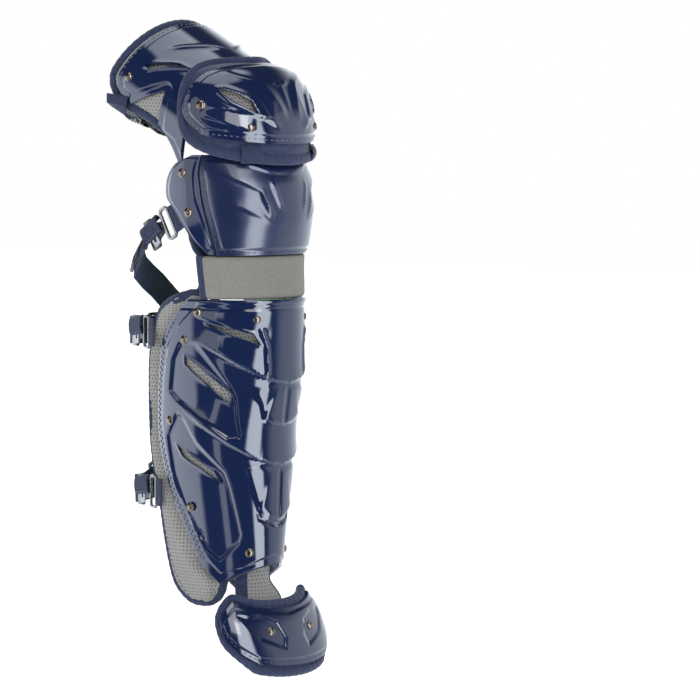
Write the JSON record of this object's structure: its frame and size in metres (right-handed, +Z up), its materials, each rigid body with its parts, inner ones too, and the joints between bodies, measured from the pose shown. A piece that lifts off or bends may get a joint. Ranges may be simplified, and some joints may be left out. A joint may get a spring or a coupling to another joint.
{
  "type": "catcher leg guard",
  "caption": "Catcher leg guard for the right leg in navy plastic with ridged knee, shin and foot shells, green mesh padding, grey wings and hooked webbing straps.",
  "frame": {"origin": "middle of the wearer's knee joint, where the leg goes through", "axes": "+Z up the leg, front of the guard towards -Y, outer side with the hooks on -X"},
  "size_m": [0.1492, 0.1777, 0.5788],
  "materials": {
    "shell": "semi gloss moulded plastic",
    "green_mesh": "spacer mesh over foam",
    "navy_fabric": "matt woven cover over foam",
    "grey_fabric": "perforated cover over foam",
    "leatherette": "soft matt",
    "yellow_foam": "matt",
    "black_patch": "matt moulded patch",
    "white_label": "matt woven label",
    "nickel": "plated",
    "steel_wire": "polished",
    "black_buckle": "moulded",
    "webbing": "woven webbing"
  },
  "bodies": {
    "root": {"thigh_shell": "shell", "thigh_pad": "green_mesh", "upper_knee_shell": "shell", "upper_knee_pad": "navy_fabric", "lower_knee_shell": "shell", "lower_knee_pad": "navy_fabric", "knee_side_plate_left": "shell", "knee_side_plate_right": "shell", "knee_cushion": "leatherette", "knee_insert": "yellow_foam", "front_band": "grey_fabric", "shin_shell": "shell", "shin_pad": "green_mesh", "shin_mesh_pad": "green_mesh", "calf_wing_left": "grey_fabric", "calf_wing_right": "grey_fabric", "wing_patch": "black_patch", "foot_shell": "shell", "foot_pad": "navy_fabric", "ankle_neck": "grey_fabric", "calf_panel": "navy_fabric", "strap_label": "white_label", "thigh_tab": "webbing", "thigh_ring": "steel_wire", "thigh_hook": "steel_wire", "thigh_strap": "webbing", "thigh_slider": "black_buckle", "knee_tab": "webbing", "knee_ring": "steel_wire", "knee_hook": "steel_wire", "knee_strap": "webbing", "knee_slider": "black_buckle", "knee_strap_far": "webbing", "calf_tab": "webbing", "calf_ring": "steel_wire", "calf_hook": "steel_wire", "upper_calf_strap": "webbing", "calf_slider": "black_buckle", "lower_tab": "webbing", "lower_ring": "steel_wire", "lower_hook": "steel_wire", "lower_strap_near": "webbing", "lower_slider": "steel_wire", "lower_strap_far": "webbing", "shin_rivet_left_1": "nickel", "shin_rivet_left_2": "nickel", "shin_rivet_left_3": "nickel", "shin_rivet_left_4": "nickel", "shin_rivet_left_5": "nickel", "shin_rivet_left_6": "nickel", "knee_rivet_left": "nickel", "shin_rivet_right_1": "nickel", "shin_rivet_right_2": "nickel", "shin_rivet_right_3": "nickel", "shin_rivet_right_4": "nickel", "shin_rivet_right_5": "nickel", "shin_rivet_right_6": "nickel", "knee_rivet_right": "nickel"}
  },
  "joints": []
}
